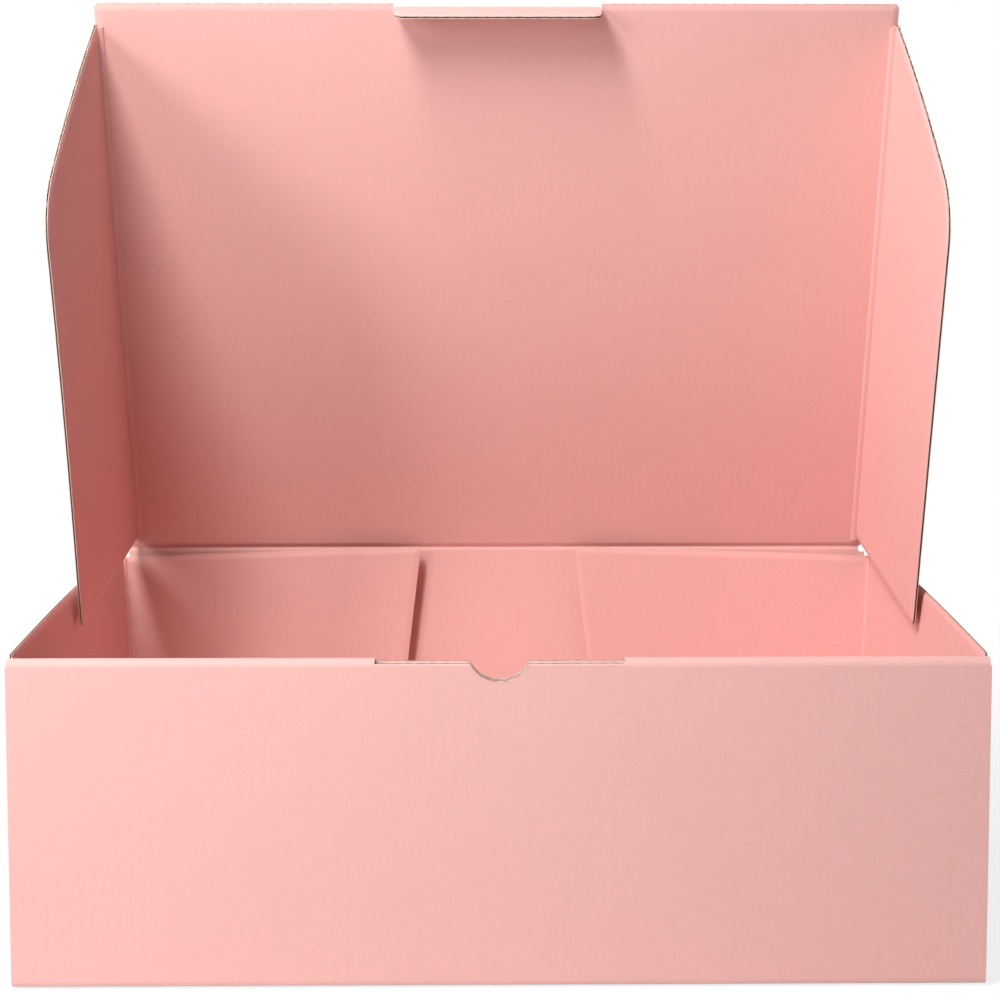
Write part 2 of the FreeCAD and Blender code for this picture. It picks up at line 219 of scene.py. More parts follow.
def bite_out(piece, cutter):
    activate(piece)
    bite = piece.modifiers.new("bite", "BOOLEAN")
    bite.operation = "DIFFERENCE"
    bite.solver = "EXACT"
    bite.object = cutter
    bpy.ops.object.modifier_apply(modifier=bite.name)


def remove(obj):
    activate(obj)
    bpy.ops.object.delete()


def pick(test):
    """Select the vertices of the edited mesh that pass the test."""
    mesh = bmesh.from_edit_mesh(bpy.context.object.data)
    bpy.ops.mesh.select_all(action="DESELECT")
    bpy.ops.mesh.select_mode(type="VERT")
    for vertex in mesh.verts:
        vertex.select = test(vertex.co)
    mesh.select_flush(True)
    bmesh.update_edit_mesh(bpy.context.object.data)


def board(name, first, last, moves, start=(0.0, 0.0, 0.0), middle=True):
    """Corrugated board from first to last across its flutes, extruded along its moves.

    Start is the place and heading of the section in the local YZ plane. A move is
    ("run", length, rows) or ("turn", degrees, radius, rows). Millimetres.
    """
    data = bpy.context.scene.mailer_board
    half = data.thickness / 2
    centre = (first + last) / 2 * MM
    offset = half - data.liner / 2
    upright = (math.pi / 2, 0, 0)
    deselect()
    bpy.ops.mesh.primitive_plane_add(size=1, rotation=upright, location=(centre, 0, offset * MM))
    obj = bpy.context.object
    obj.name = name
    obj.scale = ((last - first) * MM, data.liner * MM, 1)
    bpy.ops.object.transform_apply(location=True, rotation=True, scale=True)
    add_papers(obj)
    bpy.ops.object.mode_set(mode="EDIT")
    bpy.ops.mesh.select_all(action="SELECT")
    bpy.ops.mesh.duplicate_move(TRANSFORM_OT_translate={"value": (0, 0, -2 * offset * MM)})
    if middle:
        step = data.pitch / data.phases
        low = math.ceil(first / step - 1e-6)
        high = math.floor(last / step + 1e-6)
        middle_of_row = ((low + high) * step / 2 * MM, 0, 0)
        bpy.ops.mesh.primitive_grid_add(size=1, x_subdivisions=high - low, y_subdivisions=1,
                                        rotation=upright, location=middle_of_row)
        bpy.ops.transform.resize(value=((high - low) * step * MM, 1, data.medium * MM),
                                 center_override=middle_of_row)
        swing = half - data.liner - data.medium / 2 - 0.005
        for phase in range(data.phases):
            pick(lambda co: abs(co.z) < data.medium * MM
                 and round(co.x / step / MM) % data.phases == phase)
            lift = swing * math.cos(2 * math.pi * phase / data.phases)
            bpy.ops.transform.translate(value=(0, 0, lift * MM))
    bpy.ops.object.mode_set(mode="OBJECT")
    printed = obj.vertex_groups.new(name="printed")
    printed.add([v.index for v in obj.data.vertices if abs(v.co.z) > (half - 0.02) * MM], 1, "ADD")
    core = obj.vertex_groups.new(name="core")
    core.add([v.index for v in obj.data.vertices
              if abs(v.co.z) < (half - data.liner - 0.002) * MM], 1, "ADD")
    name_uv(obj)
    y, z, heading = start
    obj.matrix_world = (Matrix.Translation((0, y * MM, z * MM))
                        @ Matrix.Rotation(math.radians(heading), 4, "X"))
    bpy.ops.object.transform_apply(location=True, rotation=True, scale=True)
    bpy.ops.object.mode_set(mode="EDIT")
    bpy.ops.mesh.select_mode(type="FACE")
    bpy.ops.mesh.select_all(action="SELECT")
    for kind, *values in moves:
        angle = math.radians(heading)
        if kind == "run":
            length, rows = values
            forward = Vector((0, math.cos(angle), math.sin(angle))) * (length / rows * MM)
            for _ in range(rows):
                bpy.ops.mesh.extrude_region_move(TRANSFORM_OT_translate={"value": forward})
            y += length * math.cos(angle)
            z += length * math.sin(angle)
        else:
            degrees, radius, rows = values
            side = math.copysign(1, degrees)
            pivot = (y - side * radius * math.sin(angle), z + side * radius * math.cos(angle))
            for _ in range(rows):
                bpy.ops.mesh.extrude_region_move()
                turn_selected(math.radians(degrees / rows), "X", (0, pivot[0] * MM, pivot[1] * MM))
            turned = Matrix.Rotation(math.radians(degrees), 2)
            arm = turned @ Vector((y - pivot[0], z - pivot[1]))
            y, z = pivot[0] + arm.x, pivot[1] + arm.y
            heading += degrees
    bpy.ops.mesh.select_all(action="SELECT")
    bpy.ops.mesh.normals_make_consistent(inside=False)
    bpy.ops.object.mode_set(mode="OBJECT")
    return obj


def turn_selected(angle, axis, centre):
    bpy.ops.transform.rotate(value=TURN_SIGN * angle, orient_axis=axis, orient_type="GLOBAL",
                             center_override=centre)


def crease_bend(name, length, start=0.0):
    """Quarter round crease alongside the flutes: centre at the local origin, length along Y."""
    data = bpy.context.scene.mailer_board
    inner = data.crease - data.thickness / 2
    layers = ((data.crease + data.thickness / 2 - data.liner, data.liner, 0),
              (data.crease - data.medium / 2, data.medium, 2),
              (inner, data.liner, 0))
    pieces = []
    for low, thick, slot in layers:
        deselect()
        bpy.ops.mesh.primitive_plane_add(
            size=1, rotation=(0, math.pi / 2, 0),
            location=(0, (start + length / 2) * MM, (low + thick / 2) * MM))
        piece = bpy.context.object
        piece.scale = (thick * MM, length * MM, 1)
        bpy.ops.object.transform_apply(location=True, rotation=True, scale=True)
        add_papers(piece)
        group = piece.vertex_groups.new(name="printed")
        face = low + thick if slot == 0 and low > data.crease else low
        if slot == 0:
            group.add([v.index for v in piece.data.vertices
                       if abs(v.co.z / MM - face) < 0.02], 1, "ADD")
        core = piece.vertex_groups.new(name="core")
        if slot == 2:
            core.add([v.index for v in piece.data.vertices], 1, "ADD")
        bpy.ops.object.mode_set(mode="EDIT")
        bpy.ops.mesh.select_mode(type="FACE")
        bpy.ops.mesh.select_all(action="SELECT")
        for _ in range(6):
            bpy.ops.mesh.extrude_region_move()
            turn_selected(math.radians(15), "Y", (0, 0, 0))
        bpy.ops.mesh.select_all(action="SELECT")
        bpy.ops.mesh.normals_make_consistent(inside=False)
        bpy.ops.object.mode_set(mode="OBJECT")
        name_uv(piece)
        pieces.append(piece)
    activate(*pieces)
    bpy.ops.object.join()
    bend = bpy.context.object
    bend.name = name
    return bend


def fold_bead(name, width, height, length, start=0.0):
    """Buckled inner liner along a fold: a low round ridge with its length along Y."""
    deselect()
    bpy.ops.mesh.primitive_cylinder_add(
        vertices=20, radius=1, depth=1, rotation=(math.pi / 2, 0, 0),
        location=(0, (start + length / 2) * MM, 0))
    bead = bpy.context.object
    bead.name = name
    bead.scale = (width * MM, height * MM, length * MM)
    bpy.ops.object.transform_apply(location=True, rotation=True, scale=True)
    add_papers(bead)
    printed = bead.vertex_groups.new(name="printed")
    printed.add([v.index for v in bead.data.vertices], 1, "ADD")
    bead.vertex_groups.new(name="core")
    name_uv(bead)
    measure_across(bead)
    return bead


def trim(obj, cuts, crushed=()):
    """Cut a flat board with planes and crush its cut edges.

    A plane is a point and the direction that is cut away. Crushed planes are edges that the
    board already has. The board lies in the local XY plane.
    """
    data = bpy.context.scene.mailer_board
    activate(obj)
    bpy.ops.object.mode_set(mode="EDIT")
    for point, away in cuts:
        bpy.ops.mesh.select_all(action="SELECT")
        bpy.ops.mesh.bisect(plane_co=[value * MM for value in point], plane_no=away,
                            use_fill=True, clear_outer=True)
    edges = [(Vector(point) * MM, Vector(away)) for point, away in tuple(cuts) + tuple(crushed)]
    for point, away in edges:
        for inset in CRUSH_ROWS:
            bpy.ops.mesh.select_all(action="SELECT")
            bpy.ops.mesh.bisect(plane_co=point - away * inset * MM, plane_no=away)
    bpy.ops.object.mode_set(mode="OBJECT")
    for vertex in obj.data.vertices:
        inset = min((point - vertex.co).dot(away) for point, away in edges) / MM
        if inset < CRUSH_REACH:
            flat = 0.5 + 0.5 * math.cos(math.pi * max(0.0, inset) / CRUSH_REACH)
            vertex.co.z *= 1 - (1 - data.crushed) * flat
    paint(obj)


def place(obj, matrix):
    activate(obj)
    obj.matrix_world = matrix
    bpy.ops.object.transform_apply(location=True, rotation=True, scale=True)
    if matrix.determinant() < 0:
        bpy.ops.object.mode_set(mode="EDIT")
        bpy.ops.mesh.select_all(action="SELECT")
        bpy.ops.mesh.normals_make_consistent(inside=False)
        bpy.ops.object.mode_set(mode="OBJECT")


def axes(x, y, z, at=(0, 0, 0)):
    """Matrix from the local axes to the given directions, with its origin at a place in mm."""
    matrix = Matrix((x, y, z)).transposed().to_4x4()
    matrix.translation = [value * MM for value in at]
    return matrix


def measure_across(obj):
    """Lay the UV map across the flutes, before the board is turned into place."""
    layer = obj.data.uv_layers["across"]
    for loop in obj.data.loops:
        co = obj.data.vertices[loop.vertex_index].co
        layer.data[loop.index].uv = (co.x, co.y + co.z)
    paint(obj)


def paint(obj):
    """Printed faces, cut paper and medium get their materials."""
    printed = obj.vertex_groups["printed"].index
    core = obj.vertex_groups["core"].index
    groups = [{g.group for g in vertex.groups if g.weight > 0.5} for vertex in obj.data.vertices]
    for face in obj.data.polygons:
        members = [groups[index] for index in face.vertices]
        if all(printed in member for member in members):
            face.material_index = 0
        elif any(core in member for member in members):
            face.material_index = 2
        else:
            face.material_index = 1


def gather(name, pieces):
    activate(*pieces)
    bpy.ops.object.join()
    obj = bpy.context.object
    obj.name = name
    obj.data.name = name
    bpy.ops.object.shade_smooth_by_angle(angle=math.radians(SMOOTH_ANGLE))
    return obj


def warp(obj, low, high, counts, shift):
    """Bend a piece with a lattice whose points are shifted by a function of their place in mm."""
    deselect()
    centre = [(a + b) / 2 for a, b in zip(low, high)]
    bpy.ops.object.add(type="LATTICE", location=[value * MM for value in centre])
    cage = bpy.context.object
    cage.data.interpolation_type_u = "KEY_LINEAR"
    cage.data.interpolation_type_v = "KEY_LINEAR"
    cage.data.interpolation_type_w = "KEY_LINEAR"
    cage.data.points_u, cage.data.points_v, cage.data.points_w = counts
    cage.scale = [(b - a) * MM for a, b in zip(low, high)]
    size = [b - a for a, b in zip(low, high)]
    for point in cage.data.points:
        spot = [c + s * p for c, s, p in zip(centre, size, point.co)]
        moved = shift(*spot)
        point.co_deform = [p + m / s for p, m, s in zip(point.co, moved, size)]
    bpy.context.view_layer.update()
    activate(obj)
    modifier = obj.modifiers.new("warp", "LATTICE")
    modifier.object = cage
    bpy.ops.object.modifier_apply(modifier=modifier.name)
    remove(cage)


def both_sides(build):
    """The right-hand and the left-hand copy of a piece."""
    return [build(1), build(-1)]


def tray_front(tray, data):
    """Outer wall, roll-over strip, inner wall and lock tabs."""
    half = tray.width / 2
    bend = data.crease + data.thickness / 2
    roll = half - data.thickness - LAYER_GAP
    front = -tray.depth / 2
    stack = 3 * data.thickness + 2 * LAYER_GAP
    outer_y = front + data.thickness / 2
    inner_y = front + stack - data.thickness / 2
    top = tray.height - bend
    cut = tray.height - SLOT_DROP
    slot = tray.slot_width / 2
    pieces = []
    pieces.append(board("outer_wall", -half, half,
                        [("turn", -90, data.crease, 5), ("run", top - bend, 1)],
                        (front + bend, data.thickness / 2, 180)))
    pieces.append(board("inner_wall", -roll, roll,
                        [("run", top - data.thickness - TAB_CLEAR, 1)], (inner_y, top, -90)))
    strip = half - STRIP_INSET
    for a, b in ((-strip, -slot), (slot, strip)):
        pieces.append(board("strip", a, b, [("turn", -90, data.crease, 5),
                                            ("run", stack - 2 * bend, 1),
                                            ("turn", -90, data.crease, 5)],
                            (outer_y, top, 90)))
    for y in (outer_y, inner_y):
        lip = board("lip", -slot, slot, [("run", cut - top, 2)], (y, top, 90))
        activate(lip)
        bpy.ops.object.mode_set(mode="EDIT")
        pick(lambda co: co.z > (cut - 0.01) * MM)
        bpy.ops.transform.resize(value=(1, data.crushed + 0.15, 1),
                                 center_override=(0, y * MM, cut * MM))
        bpy.ops.object.mode_set(mode="OBJECT")
        pieces.append(lip)
    for a, b in ((-TAB_OUTER, -TAB_INNER), (TAB_INNER, TAB_OUTER)):
        pieces.append(board("lock_tab", a, b, [("run", data.thickness, 1)],
                            (inner_y, data.thickness + TAB_CLEAR, -90)))
    for piece in pieces:
        measure_across(piece)
    return pieces


def cut_notch(tray, data, pieces):
    """Bite the thumb notch out of both layers with one cutter."""
    centre_z = tray.height - SLOT_DROP - NOTCH_DEPTH + tray.notch_radius
    middle_y = -tray.depth / 2 + (3 * data.thickness + 2 * LAYER_GAP) / 2
    deselect()
    bpy.ops.mesh.primitive_cylinder_add(
        vertices=96, radius=tray.notch_radius * MM, depth=12 * MM,
        location=(0, middle_y * MM, centre_z * MM), rotation=(math.pi / 2, 0, 0))
    cutter = bpy.context.object
    add_papers(cutter, "cut_paper")
    for piece in pieces:
        bite_out(piece, cutter)
    remove(cutter)


def tray_floor(tray, data):
    """Base with its lock slots, its side creases, and the back wall."""
    half = tray.width / 2
    bend = data.crease + data.thickness / 2
    front = -tray.depth / 2
    back = tray.depth / 2
    mid = data.thickness / 2
    inner_front = front + 2 * (data.thickness + LAYER_GAP)
    slot_low = inner_front - TAB_CLEAR
    slot_high = inner_front + data.thickness + TAB_CLEAR
    tab_low, tab_high = TAB_INNER - TAB_CLEAR, TAB_OUTER + TAB_CLEAR
    pieces = [board("base", bend - half, half - bend,
                    [("run", slot_low - front - bend, 1)], (front + bend, mid, 0)),
              board("base", bend - half, half - bend,
                    [("run", back - bend - slot_high, 1)], (slot_high, mid, 0))]
    for a, b in ((bend - half, -tab_high), (-tab_low, tab_low), (tab_high, half - bend)):
        pieces.append(board("base", a, b, [("run", slot_high - slot_low, 1)], (slot_low, mid, 0)))
    pieces.append(board("back_wall", BACK_INSET - half, half - BACK_INSET,
                        [("turn", 90, data.crease, 5), ("run", BACK_TOP - bend, 1)],
                        (back - bend, mid, 0)))
    for piece in pieces:
        measure_across(piece)

    def side_crease(side):
        begin = front + bend + LAYER_GAP
        length = back - data.thickness - FLAP_GAP - begin
        bend_piece = crease_bend("side_crease", length, begin)
        measure_across(bend_piece)
        place(bend_piece, axes((side, 0, 0), (0, 1, 0), (0, 0, -1),
                               (side * (half - bend), 0, bend)))
        return bend_piece

    return pieces + both_sides(side_crease)


def tray_sides(tray, data):
    """Side walls with their front flaps and dust flaps."""
    half = tray.width / 2
    bend = data.crease + data.thickness / 2
    front = -tray.depth / 2
    flap_y = front + data.thickness + LAYER_GAP
    rear_y = tray.depth / 2 - data.thickness - FLAP_GAP
    crease_top = tray.corner_height
    lean = math.atan2(tray.splay, crease_top - bend)
    wall_front = flap_y + bend
    wall_rear = rear_y - bend
    mid_x = half - data.thickness / 2
    upright = axes((0, 0, 1), (0, 1, 0), (-1, 0, 0), (mid_x, 0, 0))

    def facing(x, y):
        return axes((0, 0, 1), (-1, 0, 0), (0, -1, 0), (x, y, 0))

    def side(sign):
        wall = board("side_wall", bend, tray.side_height,
                     [("run", wall_rear - wall_front, 32)], (wall_front, 0, 0))
        measure_across(wall)
        trim(wall, (), (((tray.side_height, 0, 0), (1, 0, 0)),))
        place(wall, upright)

        def lean_out(x, y, z):
            share = (z - bend) / (tray.side_height - bend)
            along = (y - wall_front) / (wall_rear - wall_front)
            climb = 1 - max(0.0, 1 - along / LEAN_PEAK) ** 1.3
            rise = tray.lead + (tray.bow - tray.lead) * climb
            past = max(0.0, (along - LEAN_PEAK) / (1 - LEAN_PEAK))
            back = (tray.bow - tray.splay) * past ** 2
            ends = max(1 - along / LEAN_START, (along - DIP_START) / (1 - DIP_START), 0.0)
            dip = (tray.side_height - crease_top) * ends
            return (share * (min(1.0, along / LEAN_START) * rise - back), 0, -share * dip)

        warp(wall, (half - 3, wall_front, bend), (half + 1, wall_rear, tray.side_height),
             (2, 33, 2), lean_out)
        turn = board("front_crease", bend, crease_top, [("turn", 90, data.crease, 5)],
                     (-(half - bend), 0, 0))
        measure_across(turn)
        place(turn, facing(0, flap_y + data.thickness / 2))
        flap = board("front_flap", bend + FRONT_FLAP_TRIM, crease_top - FRONT_FLAP_TRIM,
                     [("run", FRONT_FLAP_LENGTH - bend, 1)], (0, 0, 0))
        measure_across(flap)
        trim(flap, [((bend + FRONT_FLAP_TRIM, FRONT_FLAP_CORNER, 0), (-1, 1, 0)),
                    ((crease_top - FRONT_FLAP_TRIM, FRONT_FLAP_CORNER, 0), (1, 1, 0))])
        place(flap, facing(half - bend, flap_y + data.thickness / 2))
        crease = board("rear_crease", bend, crease_top + 0.2,
                       [("turn", 90, data.crease, 5)], (wall_rear, 0, 0))
        measure_across(crease)
        place(crease, upright)
        flap_low = bend + DUST_FLAP_LIFT
        flap_high = bend + (crease_top - bend) / math.cos(lean) - 0.4
        dust = board("dust_flap", flap_low, flap_high, [("run", DUST_FLAP_END, 12)], (0, 0, 0))
        measure_across(dust)
        slope = Vector((DUST_FLAP_HEEL - DUST_FLAP_END, flap_high - flap_low, 0)).normalized()
        top_corner = Vector((1, 1, 0)).normalized()
        low_corner = Vector((-1, 1, 0)).normalized()
        trim(dust, [((flap_low, DUST_FLAP_HEEL, 0), tuple(slope)),
                    ((flap_high, DUST_FLAP_END - 1.4, 0), tuple(top_corner)),
                    ((flap_low, DUST_FLAP_HEEL - 1.5, 0), tuple(low_corner))],
             (((flap_high, 0, 0), (1, 0, 0)), ((flap_low, 0, 0), (-1, 0, 0))))

        def stand_off(x, y, z):
            return (0, 0, tray.stand_off * (max(0.0, y) / DUST_FLAP_END) ** 2)

        warp(dust, (flap_low, 0, -1), (flap_high, DUST_FLAP_END, 1), (2, 13, 2), stand_off)
        place(dust, facing(half - bend, rear_y - data.thickness / 2))
        bead = fold_bead("corner_bead", 0.9, 0.7, crease_top - bend - 0.8, bend)
        place(bead, axes((1, 0, 0), (0, 0, 1), (0, -1, 0),
                         (half - data.thickness - 0.2, rear_y - data.thickness - 0.1, 0)))
        for piece in (crease, dust, bead):
            place(piece, Matrix.Translation((half * MM, 0, bend * MM))
                  @ Matrix.Rotation(lean, 4, "Y")
                  @ Matrix.Translation((-half * MM, 0, -bend * MM)))
        pieces = [wall, turn, flap, crease, dust, bead]
        if sign < 0:
            for piece in pieces:
                place(piece, Matrix.Diagonal((-1, 1, 1, 1)))
        return pieces

    return [piece for pieces in both_sides(side) for piece in pieces]


def lid_matrix():
    """Shut lid's frame (local Y is reach, local Z is the inner side) to the lid as it stands."""
    lid = bpy.context.scene.mailer_lid
    hinge = Vector(JOINTS["lid_hinge"]["pos_m"])
    return (Matrix.Translation(hinge)
            @ Matrix.Rotation(math.radians(180 - lid.opening), 4, "X"))


class MAILER_OT_papers(bpy.types.Operator):
    """Printed face sheet, cut paper and fluted medium"""
    bl_idname = "mailer.papers"
    bl_label = "Paper materials"
    bl_options = {"REGISTER", "UNDO"}

    def execute(self, context):
        paper = context.scene.mailer_paper
        board_data = context.scene.mailer_board
        printed_material("printed_liner", paper.print_colour, board_data.pitch * MM)
        plain_paper("cut_paper", paper.edge_colour)
        plain_paper("fluted_medium", paper.medium_colour)
        return {"FINISHED"}


def new_material(name):
    material = bpy.data.materials.new(name)
    material.use_nodes = True
    tree = material.node_tree
    tree.nodes.clear()
    output = tree.nodes.new("ShaderNodeOutputMaterial")
    shader = tree.nodes.new("ShaderNodeBsdfPrincipled")
    tree.links.new(shader.outputs["BSDF"], output.inputs["Surface"])
    return material, tree, shader


def node(tree, kind, **values):
    made = tree.nodes.new(kind)
    for key, value in values.items():
        if key.startswith("in_"):
            made.inputs[key[3:].replace("_", " ")].default_value = value
        else:
            setattr(made, key, value)
    return made


def maths(tree, operation, *values):
    made = tree.nodes.new("ShaderNodeMath")
    made.operation = operation
    for socket, value in zip(made.inputs, values):
        if isinstance(value, (int, float)):
            socket.default_value = value
        else:
            tree.links.new(value, socket)
    return made.outputs[0]


def printed_material(name, colour, pitch):
    """Matt print on a face sheet that shows its flutes faintly, through a slight rib bump and
    painted shade along the ribs.
    """
    material, tree, shader = new_material(name)
    link = tree.links.new
    uv = node(tree, "ShaderNodeUVMap", uv_map="across")
    split = node(tree, "ShaderNodeSeparateXYZ")
    link(uv.outputs["UV"], split.inputs[0])
    angle = maths(tree, "MULTIPLY", split.outputs["X"], 2 * math.pi / pitch)
    ribs = maths(tree, "COSINE", angle)
    place_node = node(tree, "ShaderNodeTexCoord")
    fibre = node(tree, "ShaderNodeTexNoise", in_Scale=1300.0, in_Detail=3.0, in_Roughness=0.6)
    cloud = node(tree, "ShaderNodeTexNoise", in_Scale=22.0, in_Detail=3.0, in_Roughness=0.55)
    link(place_node.outputs["Object"], fibre.inputs["Vector"])
    link(place_node.outputs["Object"], cloud.inputs["Vector"])
    shade = maths(tree, "MULTIPLY_ADD", cloud.outputs["Fac"], 0.05, 0.955)
    speck = maths(tree, "MULTIPLY_ADD", fibre.outputs["Fac"], 0.16, 0.92)
    # Painted shade: the print colour darkens faintly along each flute rib, standing in for the
    # shading of the washboard relief
    painted_rib_shade = maths(tree, "MULTIPLY_ADD", ribs, 0.003, 1.0)
    total = maths(tree, "MULTIPLY", maths(tree, "MULTIPLY", shade, speck), painted_rib_shade)
    tint = node(tree, "ShaderNodeMix", data_type="RGBA", blend_type="MULTIPLY")
    tint.inputs["Factor"].default_value = 1.0
    tint.inputs[6].default_value = (*colour, 1)
    link(total, tint.inputs[7])
    link(tint.outputs[2], shader.inputs["Base Color"])
    rough = maths(tree, "MULTIPLY_ADD", fibre.outputs["Fac"], 0.12, 0.62)
    link(rough, shader.inputs["Roughness"])
    shader.inputs["Specular IOR Level"].default_value = 0.3
    rib_bump = node(tree, "ShaderNodeBump", in_Strength=1.0, in_Distance=0.000005)
    link(ribs, rib_bump.inputs["Height"])
    fibre_bump = node(tree, "ShaderNodeBump", in_Strength=0.35, in_Distance=0.00006)
    link(fibre.outputs["Fac"], fibre_bump.inputs["Height"])
    link(rib_bump.outputs["Normal"], fibre_bump.inputs["Normal"])
    link(fibre_bump.outputs["Normal"], shader.inputs["Normal"])
    return material


def plain_paper(name, colour):
    """Uncoated paper with a fibrous tone."""
    material, tree, shader = new_material(name)
    link = tree.links.new
    place_node = node(tree, "ShaderNodeTexCoord")
    fibre = node(tree, "ShaderNodeTexNoise", in_Scale=1400.0, in_Detail=3.0, in_Roughness=0.6)
    link(place_node.outputs["Object"], fibre.inputs["Vector"])
    ramp = node(tree, "ShaderNodeValToRGB")
    ramp.color_ramp.elements[0].position = 0.25
    ramp.color_ramp.elements[0].color = (*[0.8 * c for c in colour], 1)
    ramp.color_ramp.elements[1].position = 0.75
    ramp.color_ramp.elements[1].color = (*[min(1, 1.08 * c) for c in colour], 1)
    link(fibre.outputs["Fac"], ramp.inputs["Fac"])
    link(ramp.outputs["Color"], shader.inputs["Base Color"])
    shader.inputs["Roughness"].default_value = 0.9
    shader.inputs["Specular IOR Level"].default_value = 0.2
    return material


class MAILER_OT_tray(bpy.types.Operator):
    """Tray: base, rolled front wall, side walls with their flaps, and back wall"""
    bl_idname = "mailer.tray"
    bl_label = "Tray"
    bl_options = {"REGISTER", "UNDO"}

    def execute(self, context):
        tray = context.scene.mailer_tray
        data = context.scene.mailer_board
        front = tray_front(tray, data)
        cut_notch(tray, data, [piece for piece in front
                               if piece.name.startswith(("outer_wall", "inner_wall", "lip"))])
        sides = tray_sides(tray, data)
        flaps = [piece for piece in sides if piece.name.startswith("dust_flap")]
        walls = [piece for piece in sides if piece not in flaps]
        body = gather("tray_board", front + tray_floor(tray, data) + walls)
        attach(body, "tray")
        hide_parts("tray")
        pressed = gather("dust_flaps", flaps)
        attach(pressed, "tray")
        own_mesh(pressed)
        return {"FINISHED"}


class MAILER_OT_lid(bpy.types.Operator):
    """Lid panel with its two side ears"""
    bl_idname = "mailer.lid"
    bl_label = "Lid"
    bl_options = {"REGISTER", "UNDO"}

    def execute(self, context):
        tray = context.scene.mailer_tray
        data = context.scene.mailer_board
        lid = context.scene.mailer_lid
        half_board = data.thickness / 2
        bend = data.crease + half_board
        ear_x = tray.width / 2 - data.thickness - EAR_CLEAR
        corner_x = ear_x - LID_INSET
        toe = lid.length - EAR_TOE
        mouth = lid.tuck_width / 2 + TUCK_MOUTH
        tuck_reach = lid.length - TUCK_SETBACK
        pieces = [
            board("panel", bend - ear_x, ear_x - bend, [("run", toe - LID_START, 8)],
                  (LID_START, 0, 0)),
            board("toe", -corner_x, -mouth, [("run", lid.length - toe, 1)], (toe, 0, 0)),
            board("toe", mouth, corner_x, [("run", lid.length - toe, 1)], (toe, 0, 0)),
            board("toe", -mouth, mouth, [("run", tuck_reach - TUCK_END - toe, 1)], (toe, 0, 0)),
        ]
        for piece in pieces:
            measure_across(piece)
        front_edge = ((0, lid.length, 0), (0, 1, 0))
        for piece, sign in ((pieces[1], -1), (pieces[2], 1)):
            round_off = Vector((sign, 1, 0)).normalized()
            corner = (sign * corner_x, lid.length - LID_CORNER / 2, 0)
            trim(piece, ((corner, tuple(round_off)),),
                 (front_edge, ((sign * corner_x, 0, 0), (sign, 0, 0))))

        def ear(side):
            length = toe - EAR_HEEL
            bow = EAR_BOW_LEFT if side < 0 else EAR_BOW_RIGHT
            tilt = math.tan(math.radians(lid.ear_splay))
            plate = board("ear", EAR_ROOT, lid.ear_depth, [("run", length, 24)], (EAR_HEEL, 0, 0))
            measure_across(plate)
            trim(plate, ear_cuts(toe, lid.ear_depth), (((lid.ear_depth, 0, 0), (1, 0, 0)),))

            def spring(x, y, z):
                bowed = math.sin(math.pi * (y - EAR_HEEL) / length) * bow
                return (0, 0, -tilt * x + bowed * x / lid.ear_depth)

            warp(plate, (0, EAR_HEEL, -1), (lid.ear_depth, toe, 1), (2, 9, 2), spring)
            place(plate, axes((0, 0, 1), (0, 1, 0), (-1, 0, 0),
                              (ear_x - half_board, 0, half_board)))
            crease = crease_bend("ear_crease", length, EAR_HEEL)
            measure_across(crease)
            place(crease, axes((1, 0, 0), (0, 1, 0), (0, 0, -1),
                               (ear_x - bend, 0, bend - half_board)))
            bead = fold_bead("ear_bead", 1.5, 0.6, length - 1, EAR_HEEL + 0.5)
            place(bead, Matrix.Translation(((ear_x - data.thickness - 0.35) * MM, 0,
                                            (half_board + 0.1) * MM)))
            if side < 0:
                for piece in (plate, crease, bead):
                    place(piece, Matrix.Diagonal((-1, 1, 1, 1)))
            return [plate, crease, bead]

        for pair in both_sides(ear):
            pieces += pair
        body = gather("lid_board", pieces)
        place(body, lid_matrix())
        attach(body, "lid")
        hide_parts("lid")
        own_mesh(body)
        return {"FINISHED"}


def through_three(a, b, c, count):
    """Points along the arc through three points."""
    (ax, ay), (bx, by), (cx, cy) = a, b, c
    d = 2 * (ax * (by - cy) + bx * (cy - ay) + cx * (ay - by))
    sa, sb, sc = ax ** 2 + ay ** 2, bx ** 2 + by ** 2, cx ** 2 + cy ** 2
    ux = (sa * (by - cy) + sb * (cy - ay) + sc * (ay - by)) / d
    uy = (sa * (cx - bx) + sb * (ax - cx) + sc * (bx - ax)) / d
    first = math.atan2(ay - uy, ax - ux)
    last = math.atan2(cy - uy, cx - ux)
    radius = math.hypot(ax - ux, ay - uy)
    sweep = (last - first + math.pi) % (2 * math.pi) - math.pi
    return [(ux + radius * math.cos(first + sweep * i / count),
             uy + radius * math.sin(first + sweep * i / count)) for i in range(count + 1)]


def ear_cuts(toe, depth):
    """Planes round an ear: local X is depth from the lid, local Y is reach from the hinge."""
    outline = (through_three((EAR_ROOT, toe), (42.5, toe - 13.0), (77.5, toe - 26.8), 8)
               + through_three((77.5, toe - 26.8), (87.0, toe - 34.0), (depth, toe - 46.4), 8)[1:])
    cuts = []
    for (d0, r0), (d1, r1) in zip(outline, outline[1:]):
        away = Vector((-(r1 - r0), d1 - d0, 0)).normalized()
        cuts.append(((d0, r0, 0), tuple(away)))
    heel = Vector((15, -(depth - EAR_ROOT), 0)).normalized()
    cuts.append(((EAR_ROOT, 4, 0), tuple(heel)))
    corner = (Vector((1, 0, 0)) + heel).normalized()
    cuts.append(((depth - 1.2, 19.2, 0), tuple(corner)))
    return cuts


